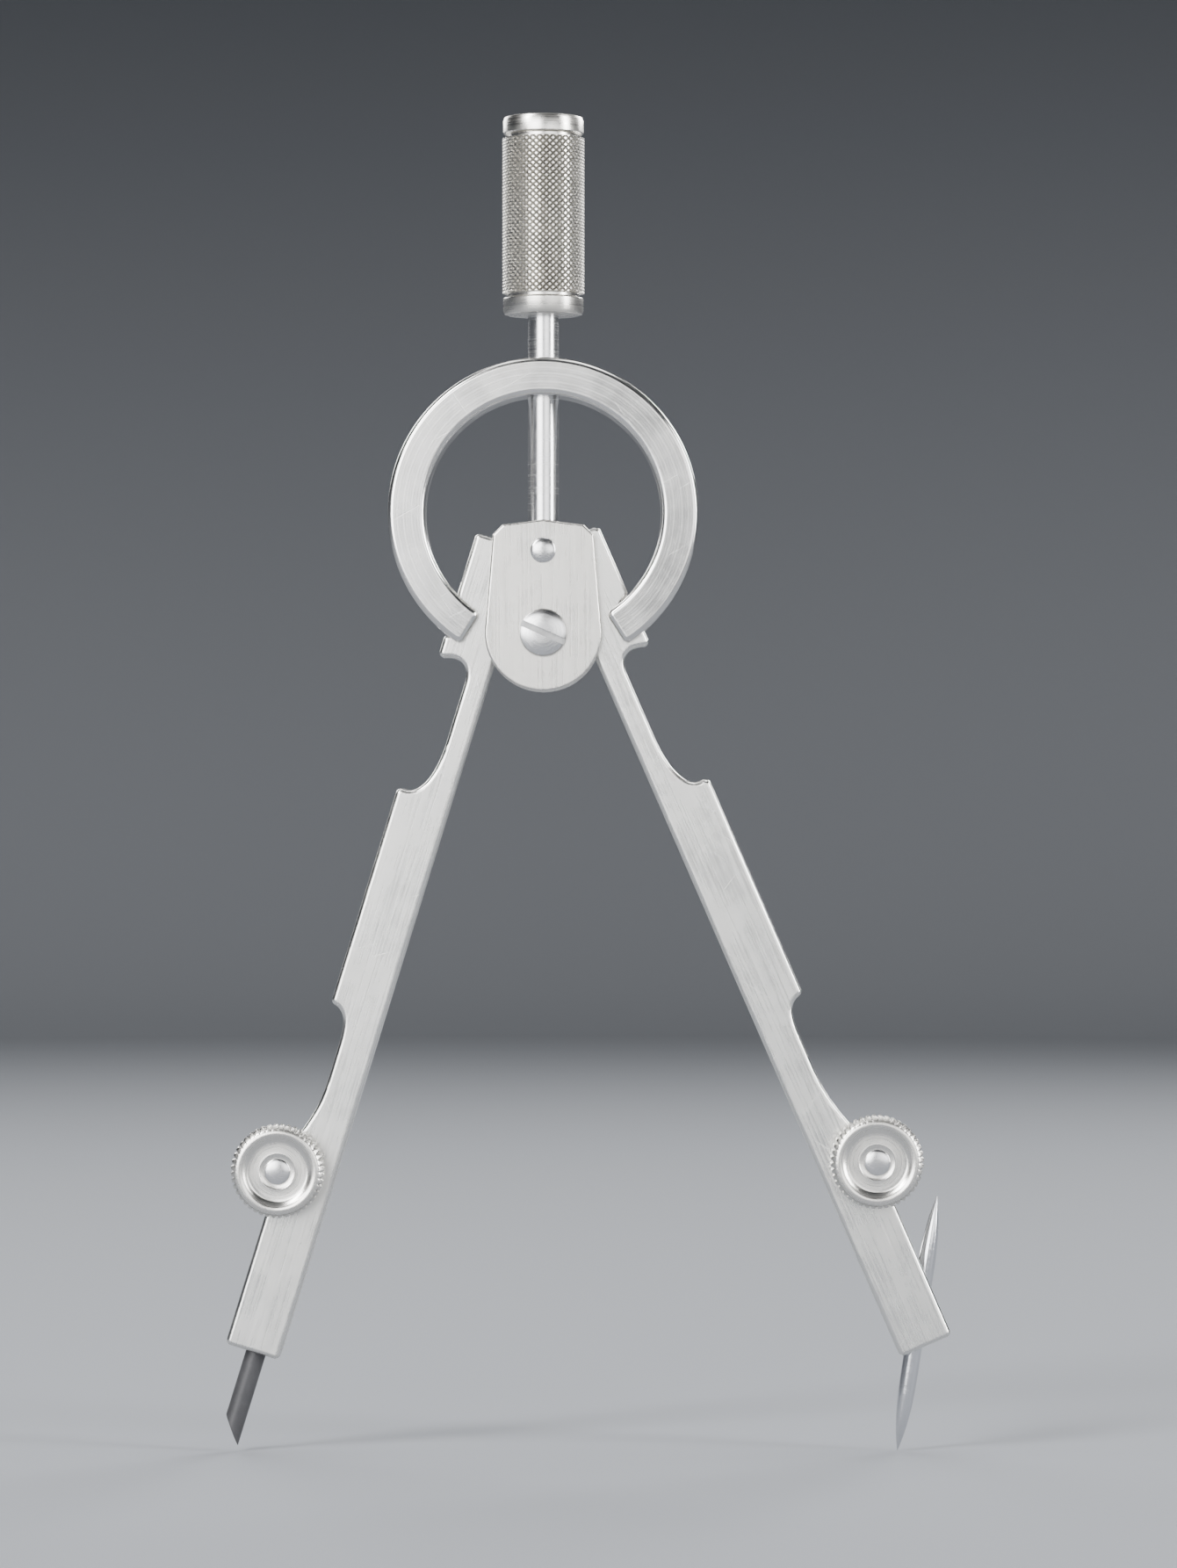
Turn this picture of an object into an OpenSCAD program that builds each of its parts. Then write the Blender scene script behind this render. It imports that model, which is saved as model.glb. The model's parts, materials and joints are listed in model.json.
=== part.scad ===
// Ring-head drawing compass.
//
// Two legs rock on a small drum clamped between two cheek plates. A C-shaped ring spring hooks into a
// notch in each leg and squeezes both legs onto the drum, so they stay where they are set. The stem
// of the handle runs down through the ring to the cheeks, and the ring slides on it as the legs move.
// Each leg ends in a split jaw, which a thumb screw closes on the lead or on the double-ended needle.
//
// Frame: the origin is the needle's lower point, on the paper. +Z is up, along the handle, and X runs
// from the lead to the needle. The front, where the thumb screws are, faces -Y. Millimetres.

/* [Pose] */
// Lean of the lead leg away from the handle, in degrees
lead_lean = 17.2; // [10:0.1:24]
// Lean of the needle leg away from the handle, in degrees
needle_lean = 23.6; // [10:0.1:30]

/* [Handle] */
// Diameter of the grip
handle_d = 8.0; // [6:0.1:10]
// Length of the grip
handle_len = 19.4; // [14:0.1:26]
// Height of the grip's foot above the pivot
handle_rise = 31.0; // [30:0.1:36]
// Diameter of the stem that the ring slides on
stem_d = 3.0; // [2.6:0.1:3.4]

/* [Ring spring] */
// Outer radius of the ring
ring_r = 15.1; // [14.9:0.1:15.5]
// Thickness of the band, measured along the radius
ring_band = 3.6; // [3.3:0.1:3.9]
// Depth of the band, front to back
ring_depth = 6.4; // [6.2:0.1:7.4]
// Height of the ring's centre above the pivot
ring_rise = 11.65; // [11.4:0.05:11.9]

/* [Head] */
// Radius of the drum that the legs rock on
drum_r = 4.6; // [4.3:0.1:4.8]
// Radius of the cheek plates' round foot
cheek_r = 5.7; // [5.4:0.1:5.8]
// Thickness of one cheek plate
cheek_t = 1.1; // [0.8:0.1:1.2]

/* [Legs] */
// Length of the lead leg, from the pivot to its jaw's end
lead_leg_len = 75.2; // [72:0.1:80]
// Length of the needle leg, from the pivot to its jaw's end
needle_leg_len = 78.5; // [76:0.1:80]
// Width of a leg
leg_w = 5.45; // [5.2:0.05:5.6]
// Depth of a leg, front to back
leg_depth = 4.0; // [3.6:0.1:4.0]
// Distance from the pivot to a leg's inner edge
leg_inset = 3.65; // [3.4:0.05:3.9]
// Width of the neck below the head
neck_w = 2.2; // [1.8:0.1:2.6]
// Width left by the shallow scoop below the grip
waist_w = 3.5; // [3.2:0.1:4.4]

/* [Clamps] */
// Diameter of a thumb screw's knob
knob_d = 9.0; // [7:0.1:9.6]
// Thickness of the knob
knob_t = 3.2; // [2.4:0.1:4]
// Diameter of the thumb screw's stud
stud_d = 2.5; // [2:0.1:2.6]

/* [Lead and needle] */
// Diameter of the lead, a standard size
lead_d = 2.0; // [2:1:2]
// How far the lead stands out of its jaw
lead_out = 9.3; // [6:0.1:12]
// Length of the lead
lead_len = 25.5; // [22:0.1:26]
// Largest diameter of the needle
needle_d = 1.7; // [1.2:0.1:1.8]
// Length of the needle, point to point
needle_len = 25.2; // [24:0.1:27]
// Slant of the needle against its leg, in degrees
needle_slant = 32.5; // [30:0.5:34]

/* [Hidden] */
$fn = 96;

// How far the legs swing from the modelled pose, in degrees
legs_close = 21;
legs_open = 8;
widest_lean = needle_lean + legs_open;

// Clearances: a turning or sliding fit, a face that slides past another, and a seated fit
running = 0.05;
face_gap = 0.05;
seated = 0.01;

leg_out = leg_inset + leg_w;
half_leg = leg_depth / 2;
cheek_in = half_leg + face_gap;
cheek_face = cheek_in + cheek_t;
stem_r = stem_d / 2;

// A leg's head, from the pivot: its top, and the ear that keeps the ring from slipping down
head_up = 7.4;
ear_drop = 5.45;

// The ring's nose, and the notch in the leg that it rocks in
nose_r = 1.2;
notch_gap = 0.35;
seat_u = leg_out + 0.2;
seat_s = 1.5;
end_turn = 32;
slot_w = leg_depth + 0.2;

// The stem's flat foot between the cheeks, and its thread in the grip
foot_low = 3.2;
foot_top = 10.4;
stem_thread_r = 1.25;
stem_thread_len = 12;
rivet_z = 8.0;
rivet_r = 0.8;
axle_r = 1.25;

// Stations along a leg as shares of its length: end of the neck, end of the grip, thumb screw
neck_share = 0.2445;
grip_share = 0.538;
knob_share = 0.7635;
function neck_end(len) = neck_share * len;
function grip_end(len) = grip_share * len;
function knob_at(len) = knob_share * len;

// The split jaw at a leg's foot
slit_w = 0.5;
slit_above_knob = 6.5;
lug_r = 3.2;
bush_r = 1.8;
washer_r = 2.9;
washer_t = 0.3;
knob_back = half_leg + washer_t + 0.02;
stud_r = stud_d / 2;

// The lead lies along its leg, and the needle's lower point lies almost under the pivot
lead_u = leg_inset + 2.4;
lead_tip = lead_leg_len + lead_out;
lead_bevel = 2.6;
needle_point = [-0.3, 86.95];
needle_taper = 9;
needle_steps = 12;

// A place on the needle's side of the head, from a distance out from the leg's own axis and one down it
function from_leg(u, s, lean) = [u * cos(lean) + s * sin(lean), 0, u * sin(lean) - s * cos(lean)];
pivot = -from_leg(needle_point[0], needle_point[1], needle_lean);

// A smooth curve from a to d with the handles b and c
function curve(a, b, c, d, steps = 10) = [for (i = [0 : steps]) let (t = i / steps)
    pow(1 - t, 3) * a + 3 * t * pow(1 - t, 2) * b + 3 * t * t * (1 - t) * c + t * t * t * d];

// Puts a part drawn round the pivot in its place
module at_pivot() translate(pivot) children();

// Puts a part drawn on an upright leg, +X outwards and the pivot at the origin, on the lead or needle leg
module on_lead_leg() at_pivot() mirror([1, 0, 0]) rotate([0, -lead_lean, 0]) children();
module on_needle_leg() at_pivot() rotate([0, -needle_lean, 0]) children();

// A plate of a front-view outline, centred front to back
module plate(depth) rotate([90, 0, 0]) linear_extrude(depth, center = true) children();

// A round piece along Y, from y = low to y = high
module along_y(r, low, high) translate([0, high, 0]) rotate([90, 0, 0]) cylinder(r = r, h = high - low);

// ---- Handle ----

module handle_grip() color("gainsboro") at_pivot() translate([0, 0, handle_rise]) {
    edge = 0.4;
    r = handle_d / 2;
    difference() {
        union() {
            cylinder(r1 = r - edge, r2 = r, h = edge);
            translate([0, 0, edge]) cylinder(r = r, h = handle_len - 2 * edge);
            translate([0, 0, handle_len - edge]) cylinder(r1 = r, r2 = r - edge, h = edge);
        }
        translate([0, 0, -1]) cylinder(r = stem_thread_r + seated, h = stem_thread_len + 2);
    }
}

module handle_stem() color("silver") at_pivot() difference() {
    union() {
        translate([0, 0, foot_top]) cylinder(r = stem_r, h = handle_rise - foot_top);
        translate([0, 0, handle_rise]) cylinder(r = stem_thread_r, h = stem_thread_len);
        translate([-stem_r, -cheek_in, foot_low]) cube([stem_d, 2 * cheek_in, foot_top - foot_low]);
    }
    along_y(drum_r + seated, -half_leg - 1, half_leg + 1);
    translate([0, 0, rivet_z]) along_y(rivet_r + seated, -half_leg - 1, half_leg + 1);
}

// ---- Ring spring ----

// The space in the ring's end that a leg needs as it rocks about the nose
module leg_sweep(lean) {
    seat = from_leg(seat_u, seat_s, lean);
    reach = 12;
    for (swing = [-legs_close, 0, legs_open])
        translate([seat[0], seat[2]]) rotate(lean + swing)
            translate([-reach, -reach / 2]) square([reach + leg_out + 0.3 - seat_u, 1.5 * reach]);
}

// One end's slot, on the needle side, cut for the leg
module ring_slot(lean) plate(slot_w) leg_sweep(lean);

// The nose in the slot, which presses on the leg's notch
module ring_nose(lean) translate(from_leg(seat_u, seat_s, lean))
    along_y(nose_r, -slot_w / 2 - 0.1, slot_w / 2 + 0.1);

// The band seen from the front: a circle that is open below, between its two ends
module ring_outline() difference() {
    reach = ring_r / cos(end_turn);
    circle(ring_r);
    circle(ring_r - ring_band);
    polygon([[0, 0], [reach * sin(end_turn), -reach * cos(end_turn)],
        [-reach * sin(end_turn), -reach * cos(end_turn)]]);
}

module ring_spring() color("silver") at_pivot() {
    difference() {
        translate([0, 0, ring_rise]) plate(ring_depth) ring_outline();
        mirror([1, 0, 0]) ring_slot(lead_lean);
        ring_slot(needle_lean);
        translate([0, 0, ring_rise]) cylinder(r = stem_r + running, h = ring_r + 1);
    }
    mirror([1, 0, 0]) ring_nose(lead_lean);
    ring_nose(needle_lean);
}

// ---- Head ----

// A shield: round about the pivot below, with leaning flanks and a low gable above
module cheek_outline() {
    flank = 0.98 * cheek_r;
    circle(cheek_r);
    polygon([[-flank, 0], [flank, 0], [4.9, 9.5], [3.9, 10.5], [0, 11.0], [-3.9, 10.5], [-4.9, 9.5]]);
}

// A cheek plate with its axle and rivet holes, its inner face on y = 0 and its outer one towards +Y
module cheek(axle_hole) difference() {
    translate([0, cheek_t / 2, 0]) plate(cheek_t) cheek_outline();
    along_y(axle_hole, -1, cheek_t + 1);
    translate([0, 0, rivet_z]) along_y(rivet_r + seated, -1, cheek_t + 1);
}

module front_cheek() color("gainsboro") at_pivot()
    translate([0, -cheek_in, 0]) mirror([0, 1, 0]) cheek(axle_r + running);

module back_cheek() color("gainsboro") at_pivot() translate([0, cheek_in, 0]) cheek(axle_r + seated);

module fulcrum_drum() color("lightgray") at_pivot() difference() {
    along_y(drum_r, -cheek_in, cheek_in);
    along_y(axle_r + seated, -cheek_in - 1, cheek_in + 1);
}

module axle_screw() color("silver") at_pivot() {
    head_r = 2.3;
    head_t = 0.9;
    difference() {
        along_y(head_r, -cheek_face - head_t, -cheek_face);
        translate([-head_r - 1, -cheek_face - head_t - 0.01, -0.3]) cube([2 * head_r + 2, 0.5, 0.6]);
    }
    along_y(axle_r, -cheek_face, cheek_face);
}

module cheek_rivet() color("silver") at_pivot() translate([0, 0, rivet_z]) {
    along_y(rivet_r, -cheek_face, cheek_face);
    along_y(1.25, -cheek_face - 0.35, -cheek_face);
}

// ---- Legs ----

// The outline of a leg from its head to its jaw: an ear, a scooped neck, the grip, a waist and the jaw
module leg_outline(len) translate([leg_inset, 0]) {
    neck = neck_end(len);
    grip = grip_end(len);
    knob = knob_at(len);
    polygon(concat(
        [[0, -len], [0, head_up], [leg_w, head_up]],
        curve([leg_w, -ear_drop], [leg_w - 1.4, -ear_drop + 0.9], [neck_w, -ear_drop + 0.9],
            [neck_w, -ear_drop - 1.6]),
        curve([neck_w, -neck + 5.5], [neck_w, -neck + 2.5], [neck_w + 0.8, -neck - 0.9], [leg_w, -neck]),
        curve([leg_w, -grip], [waist_w + 0.4, -grip - 0.2], [waist_w, -grip - 1.2], [waist_w, -grip - 4.2]),
        curve([waist_w, -grip - 7.2], [waist_w, -grip - 11.2], [leg_w - 0.7, -knob + 4.2],
            [leg_w, -knob + 1.2]),
        [[leg_w, -len]]));
}

// A leg before its lead or needle hole is drilled
module leg_blank(len) difference() {
    union() {
        plate(leg_depth) difference() {
            leg_outline(len);
            circle(drum_r + running);
            translate([seat_u, -seat_s]) circle(nose_r + notch_gap);
            // Room for the stem when the legs are widest
            rotate(-widest_lean) translate([-9, 0]) square([9 + stem_r + 0.3, 14]);
        }
        translate([leg_out, 0, -knob_at(len)]) along_y(lug_r, -half_leg, half_leg);
    }
    // The slit that splits the jaw, with a round end
    slit_top = knob_at(len) - slit_above_knob;
    translate([leg_inset - 1, -slit_w / 2, -len - 1]) cube([leg_w + 6, slit_w, len + 1 - slit_top]);
    translate([leg_inset - 1, 0, -slit_top]) rotate([0, 90, 0]) cylinder(r = slit_w, h = leg_w + 6);
    // The stud's hole in the front jaw, and the threaded bush's in the back one
    translate([leg_out, 0, -knob_at(len)]) {
        along_y(stud_r + 0.1, -half_leg - 1, 0);
        along_y(bush_r + seated, 0, half_leg + 1);
    }
}

module lead_leg() color("whitesmoke") on_lead_leg() difference() {
    leg_blank(lead_leg_len);
    bore_len = lead_len - lead_out + 2.5;
    translate([lead_u, 0, -lead_leg_len - 1]) cylinder(r = lead_d / 2 + 0.03, h = bore_len + 1);
}

module needle_leg() color("whitesmoke") on_needle_leg() difference() {
    leg_blank(needle_leg_len);
    along_needle() cylinder(r = needle_d / 2 + running, h = needle_len);
}

// ---- Thumb screws, drawn round the stud's axis ----

module thread_bush() difference() {
    along_y(bush_r, slit_w / 2, half_leg);
    along_y(stud_r + running, -1, half_leg + 1);
}

module clamp_washer() difference() {
    along_y(washer_r, -half_leg - washer_t, -half_leg);
    along_y(stud_r + 0.1, -half_leg - 1, 0);
}

// A disc with broken edges and a dished face
module clamp_knob() {
    edge = 0.4;
    dish = 0.4;
    r = knob_d / 2;
    translate([0, -knob_back, 0]) rotate([90, 0, 0]) rotate_extrude()
        polygon([[stud_r + seated, 0], [r - edge, 0], [r, edge], [r, knob_t - edge], [r - edge, knob_t],
            [r - 1.2, knob_t], [r - 1.6, knob_t - dish], [stud_r + seated, knob_t - dish]]);
}

module clamp_stud() along_y(stud_r, -knob_back - knob_t + 0.2, half_leg + 0.6);

module on_lead_stud() on_lead_leg() translate([leg_out, 0, -knob_at(lead_leg_len)]) children();
module on_needle_stud() on_needle_leg() translate([leg_out, 0, -knob_at(needle_leg_len)]) children();

module lead_thread_bush() color("goldenrod") on_lead_stud() thread_bush();
module lead_clamp_washer() color("silver") on_lead_stud() clamp_washer();
module lead_clamp_knob() color("gainsboro") on_lead_stud() clamp_knob();
module lead_clamp_stud() color("silver") on_lead_stud() clamp_stud();

module needle_thread_bush() color("goldenrod") on_needle_stud() thread_bush();
module needle_clamp_washer() color("silver") on_needle_stud() clamp_washer();
module needle_clamp_knob() color("gainsboro") on_needle_stud() clamp_knob();
module needle_clamp_stud() color("silver") on_needle_stud() clamp_stud();

// ---- Lead and needle ----

// Ground to a chisel on its outer side, so that its point is on the inner side
module lead() color("dimgray") on_lead_leg() translate([lead_u, 0, -lead_tip]) difference() {
    cylinder(r = lead_d / 2, h = lead_len);
    rotate([90, 0, 0]) linear_extrude(4, center = true)
        polygon([[-lead_d / 2, 0], [lead_d / 2, lead_bevel], [3, lead_bevel], [3, -1], [-lead_d / 2, -1]]);
}

// The needle's own axis, from its lower point upwards
module along_needle() translate([needle_point[0], 0, -needle_point[1]]) rotate([0, needle_slant, 0])
    children();

// The needle's radius at a distance from its nearer point
function needle_radius(d) = needle_d / 2 * (1 - pow(1 - min(d, needle_taper) / needle_taper, 3));

module needle() color("lightslategray") on_needle_leg() along_needle() rotate_extrude() {
    low = [for (i = [0 : needle_steps]) let (d = needle_taper * i / needle_steps) [needle_radius(d), d]];
    high = [for (i = [needle_steps : -1 : 0]) [low[i][0], needle_len - low[i][1]]];
    polygon(concat(low, high));
}

handle_grip();
handle_stem();
ring_spring();
front_cheek();
back_cheek();
fulcrum_drum();
axle_screw();
cheek_rivet();
lead_leg();
lead_thread_bush();
lead_clamp_washer();
lead_clamp_knob();
lead_clamp_stud();
lead();
needle_leg();
needle_thread_bush();
needle_clamp_washer();
needle_clamp_knob();
needle_clamp_stud();
needle();
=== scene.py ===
"""A ring-head drawing compass in satin nickel, standing on its needle and its lead."""

import json
import math

import bmesh
import bpy
from mathutils import Matrix, Vector


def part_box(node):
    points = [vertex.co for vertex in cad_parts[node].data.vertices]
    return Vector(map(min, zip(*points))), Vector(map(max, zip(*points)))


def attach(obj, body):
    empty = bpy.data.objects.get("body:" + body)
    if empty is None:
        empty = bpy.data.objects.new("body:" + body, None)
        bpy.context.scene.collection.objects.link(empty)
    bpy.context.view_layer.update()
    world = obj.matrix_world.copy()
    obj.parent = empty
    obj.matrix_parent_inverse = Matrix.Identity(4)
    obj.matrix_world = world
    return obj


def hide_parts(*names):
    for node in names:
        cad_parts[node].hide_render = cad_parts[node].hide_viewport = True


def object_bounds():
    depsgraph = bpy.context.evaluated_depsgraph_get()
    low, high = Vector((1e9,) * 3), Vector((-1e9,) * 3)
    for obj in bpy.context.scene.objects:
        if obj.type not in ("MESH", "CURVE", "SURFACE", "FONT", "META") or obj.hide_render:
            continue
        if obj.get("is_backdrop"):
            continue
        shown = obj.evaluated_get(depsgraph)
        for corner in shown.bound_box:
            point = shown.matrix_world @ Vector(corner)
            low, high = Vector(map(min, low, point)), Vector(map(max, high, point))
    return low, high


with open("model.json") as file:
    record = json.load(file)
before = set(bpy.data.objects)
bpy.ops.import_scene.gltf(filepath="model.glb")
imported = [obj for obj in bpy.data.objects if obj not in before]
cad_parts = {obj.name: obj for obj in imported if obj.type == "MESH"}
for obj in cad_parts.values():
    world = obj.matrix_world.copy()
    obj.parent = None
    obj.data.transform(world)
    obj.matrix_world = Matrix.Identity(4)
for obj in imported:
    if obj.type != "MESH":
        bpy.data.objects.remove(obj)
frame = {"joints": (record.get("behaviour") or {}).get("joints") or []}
cad_low, cad_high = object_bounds()


# ---- Grip ----
# The grip is a turned brass barrel, nickel plated, with a diamond knurl between two plain collars.
# It screws onto the stem's top. The knurl is two crossed sets of grooves, rolled into the barrel.

MM = 0.001
CREASE = math.radians(38)


class Wire:
    """A shader socket that Python's arithmetic works on. Each sum adds a Math node to the tree."""

    def __init__(self, tree, socket=None):
        self.tree = tree
        self.socket = socket

    def node(self, kind, settings, sockets, out=0):
        """A new node: first its settings, or a ramp's stops, then the value or link of each socket."""
        made = self.tree.nodes.new(kind)
        for name, value in settings.items():
            if name == "stops":
                ramp = made.color_ramp
                for element, (place, shade) in zip(ramp.elements, value):
                    element.position = place
                    element.color = (shade, shade, shade, 1)
            else:
                setattr(made, name, value)
        for key, value in sockets.items():
            if isinstance(value, Wire):
                self.tree.links.new(value.socket, made.inputs[key])
            else:
                made.inputs[key].default_value = value
        return Wire(self.tree, made.outputs[out])

    def maths(self, operation, left, right=0.0):
        return self.node("ShaderNodeMath", {"operation": operation}, {0: left, 1: right})

    def __add__(self, other):
        return self.maths("ADD", self, other)

    def __sub__(self, other):
        return self.maths("SUBTRACT", self, other)

    def __rsub__(self, other):
        return self.maths("SUBTRACT", other, self)

    def __mul__(self, other):
        return self.maths("MULTIPLY", self, other)

    def __pow__(self, other):
        return self.maths("POWER", self, other)

    __radd__ = __add__
    __rmul__ = __mul__


def clouds(place, size, detail=2.0, roughness=0.5):
    """Soft noise from 0 to 1 over a vector, with features of about size millimetres."""
    return place.node(
        "ShaderNodeTexNoise",
        {},
        {"Vector": place, "Scale": 1 / (size * MM), "Detail": detail, "Roughness": roughness},
    )


def streaks(place, along, size):
    """Noise drawn out into lines: along gives how much each of the piece's own axes is kept."""
    stretched = place.node("ShaderNodeVectorMath", {"operation": "MULTIPLY"}, {0: place, 1: along})
    return clouds(stretched, size, detail=3.0, roughness=0.6)


def number_along(vector, axis):
    """One of a vector's three numbers."""
    return vector.node("ShaderNodeSeparateXYZ", {}, {"Vector": vector}, out=axis)


def radius_about(place, axis):
    """How far a point is from one of the piece's own axes."""
    first, second = (number_along(place, other) for other in "XYZ" if other != axis)
    return (first**2.0 + second**2.0) ** 0.5


def lathe_lines(axis, size):
    """Gives the function that draws lines round a turned piece's own axis, as a lathe tool leaves them."""

    def lines(place):
        position = {"X": radius_about(place, axis), "Y": number_along(place, axis), "Z": 0.0}
        rings = place.node("ShaderNodeCombineXYZ", {}, position)
        return clouds(rings, size, detail=3.0, roughness=0.65)

    return lines


def fade(value, start, end, first, last, kind="LINEAR"):
    """Goes from first to last as value goes from start to end, and stays there on either side."""
    return value.node(
        "ShaderNodeMapRange", {"interpolation_type": kind}, {0: value, 1: start, 2: end, 3: first, 4: last}
    )


def blend_colour(factor, first, second):
    """One colour into another as factor goes from 0 to 1. The first one may be a link."""
    under = first if isinstance(first, Wire) else (*first, 1.0)
    over = (*second, 1.0)
    return factor.node("ShaderNodeMix", {"data_type": "RGBA"}, {0: factor, 6: under, 7: over}, out=2)


def contrast(value, low, high):
    """Noise made starker: 0 up to low and 1 from high on."""
    return value.node("ShaderNodeValToRGB", {"stops": [(low, 0.0), (high, 1.0)]}, {"Fac": value})


def scratches(place, size, turn):
    """Sparse fine scratches from 0 to 1, running across the piece's own XZ face at an angle."""
    turned_place = place.node(
        "ShaderNodeVectorRotate", {"rotation_type": "Y_AXIS"}, {"Vector": place, "Angle": math.radians(turn)}
    )
    return contrast(streaks(turned_place, (1, 1, 0.03), size), 0.68, 0.76)


def root_painted_shade(axis, root, crest):
    """Gives the function that paints shade into a knurl's grooves: 1 at its root radius and 0 at its
    crest's.
    """

    def shade(place):
        radius = radius_about(place, axis)
        outside = place.maths("GREATER_THAN", radius, (root - 0.1) * MM)
        return fade(radius, root * MM, crest * MM, 1.0, 0.0) * outside

    return shade


FILM_SIZE = 7.0
PRINT_SIZE = 1.6
WAVE_SIZE = 5.0
WAVE_HEIGHT = 4.0
NICK_DEPTH = 0.35
NICKS = ((0.3, 34), (0.24, -61))
MARK_ROUGHNESS = 0.3
FILM_ROUGHNESS = 0.08
PRINT_ROUGHNESS = 0.1
NICK_ROUGHNESS = 0.1
RECESS_SHADE_ROUGHNESS = 0.25


def metal(name, colour, tarnish, rough, lines, depth, rubbed=0.0, painted_recess_shade=None):
    """A plated or ground metal. lines draws its tool marks, depth is theirs in millimetres, and rubbed is
    how much smoother handling has left the softened edges, whose own normals lean between Y and X or Z."""
    made = bpy.data.materials.new(name)
    made.use_nodes = True
    tree = made.node_tree
    skin = tree.nodes["Principled BSDF"]
    skin.inputs["Metallic"].default_value = 1.0
    place = Wire(tree).node("ShaderNodeTexCoord", {}, {}, out="Object")
    facing = Wire(tree).node("ShaderNodeTexCoord", {}, {}, out="Normal")
    marks = lines(place)
    film = contrast(clouds(place, FILM_SIZE, 4.0), 0.38, 0.72)
    prints = clouds(place, PRINT_SIZE, 3.0)
    coarse, fine = (scratches(place, size, turn) for size, turn in NICKS)
    nicks = coarse + fine
    across = number_along(facing, "Y")
    flat = across * across
    edge = (flat - flat * flat) * 4.0
    roughness = rough + (marks - 0.5) * MARK_ROUGHNESS + film * FILM_ROUGHNESS - edge * rubbed
    roughness = roughness + (prints - 0.5) * PRINT_ROUGHNESS + nicks * NICK_ROUGHNESS
    height = marks - nicks * NICK_DEPTH + clouds(place, WAVE_SIZE, 1.0) * WAVE_HEIGHT
    bump = place.node("ShaderNodeBump", {}, {"Strength": 0.5, "Distance": depth * MM, "Height": height})
    tone = blend_colour(film * 0.5 + marks * 0.6, colour, tarnish)
    # Painted shade: where a hollow mask is given, the colour is darkened towards a dark tarnish in those
    # hollows, and the roughness is raised there.
    if painted_recess_shade:
        recess_shade = painted_recess_shade(place) * (0.1 + prints * 0.6)
        tone = blend_colour(recess_shade, tone, tuple(0.4 * c for c in tarnish))
        roughness = roughness + recess_shade * RECESS_SHADE_ROUGHNESS
    tree.links.new(tone.socket, skin.inputs["Base Color"])
    tree.links.new(roughness.socket, skin.inputs["Roughness"])
    tree.links.new(bump.socket, skin.inputs["Normal"])
    return made


def loop(bm, points):
    return [bm.verts.new(p) for p in points]


def skin_between(bm, low, high):
    """A band of faces between two loops with the same number of points."""
    for i in range(len(low)):
        j = (i + 1) % len(low)
        bm.faces.new((low[i], low[j], high[j], high[i]))


def round_loop(bm, angles, radius, height):
    return loop(bm, [(radius * math.cos(a), radius * math.sin(a), height) for a in angles])


def make_piece(name, bm, where, body, stands_for, finish):
    """Turns a bmesh drawn in millimetres into a piece that rides on a body and stands for CAD nodes."""
    bmesh.ops.recalc_face_normals(bm, faces=bm.faces)
    for face in bm.faces:
        face.smooth = True
    for edge in bm.edges:
        edge.smooth = edge.is_manifold and edge.calc_face_angle(0.0) < CREASE
    mesh = bpy.data.meshes.new(name)
    bm.to_mesh(mesh)
    bm.free()
    mesh.transform(Matrix.Scale(MM, 4))
    mesh.materials.append(finish)
    made = bpy.data.objects.new(name, mesh)
    bpy.context.scene.collection.objects.link(made)
    made.matrix_world = where
    even = made.modifiers.new("even_normals", "WEIGHTED_NORMAL")
    even.keep_sharp = True
    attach(made, body)
    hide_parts(stands_for)


def middle(node):
    low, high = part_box(node)
    return (low + high) / 2


def size_of(node):
    """A node's width, depth and height in millimetres."""
    low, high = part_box(node)
    return (high - low) / MM


DIAMOND = 0.46


def knurled_barrel(bm, crest, root, low, high, columns, rows):
    """Flat-topped diamonds between crossed grooves. Gives the two rims and the angles of their points."""
    turn = math.pi / columns
    rise = (high - low) / rows

    def at(k, m, radius):
        return (radius * math.cos(k * turn), radius * math.sin(k * turn), low + m * rise)

    groove = {}
    for m in range(rows + 1):
        for k in range(m % 2, 2 * columns, 2):
            groove[k, m] = bm.verts.new(at(k, m, root))
    rims = {0: [], rows: []}
    angles = []
    for m in range(rows + 1):
        for k in range((m + 1) % 2, 2 * columns, 2):
            around = [(k + dk, m + dm, dk, dm) for dk, dm in ((-1, 0), (0, -1), (1, 0), (0, 1))]
            kept = [(a % (2 * columns), b, dk, dm) for a, b, dk, dm in around if 0 <= b <= rows]
            feet = [groove[a, b] for a, b, dk, dm in kept]
            tips = [bm.verts.new(at(k + DIAMOND * dk, m + DIAMOND * dm, crest)) for a, b, dk, dm in kept]
            bm.faces.new(tips)
            for i in range(len(feet)):
                j = (i + 1) % len(feet)
                if len(feet) == 4 or {kept[i][3], kept[j][3]} != {0}:
                    bm.faces.new((feet[i], feet[j], tips[j], tips[i]))
            if m in rims:
                right = [t for t, c in zip(tips, kept) if c[2] == 1][0]
                left = [t for t, c in zip(tips, kept) if c[2] == -1][0]
                rims[m] += [groove[(k - 1) % (2 * columns), m], left, right]
                if m == 0:
                    angles += [(k - 1) * turn, (k - DIAMOND) * turn, (k + DIAMOND) * turn]
    return rims[0], rims[rows], angles


nickel_light = (0.78, 0.77, 0.74)
nickel_warm = (0.62, 0.60, 0.56)

COLLAR_LEN = 1.7
COLLAR_EDGE = 0.45
GROOVE_END = COLLAR_LEN + 0.45
KNURL_COLUMNS = 38
KNURL_ROWS = 50
grip_len = size_of("handle_grip").z
grip_r = size_of("handle_grip").x / 2
grip_foot = middle("handle_grip") - Vector((0, 0, grip_len / 2 * MM))
collar_r = grip_r - 0.08
groove_r = grip_r - 0.55
knurl_root = grip_r - 0.34

# The knurl's grooves are darkened with painted shade.
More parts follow.
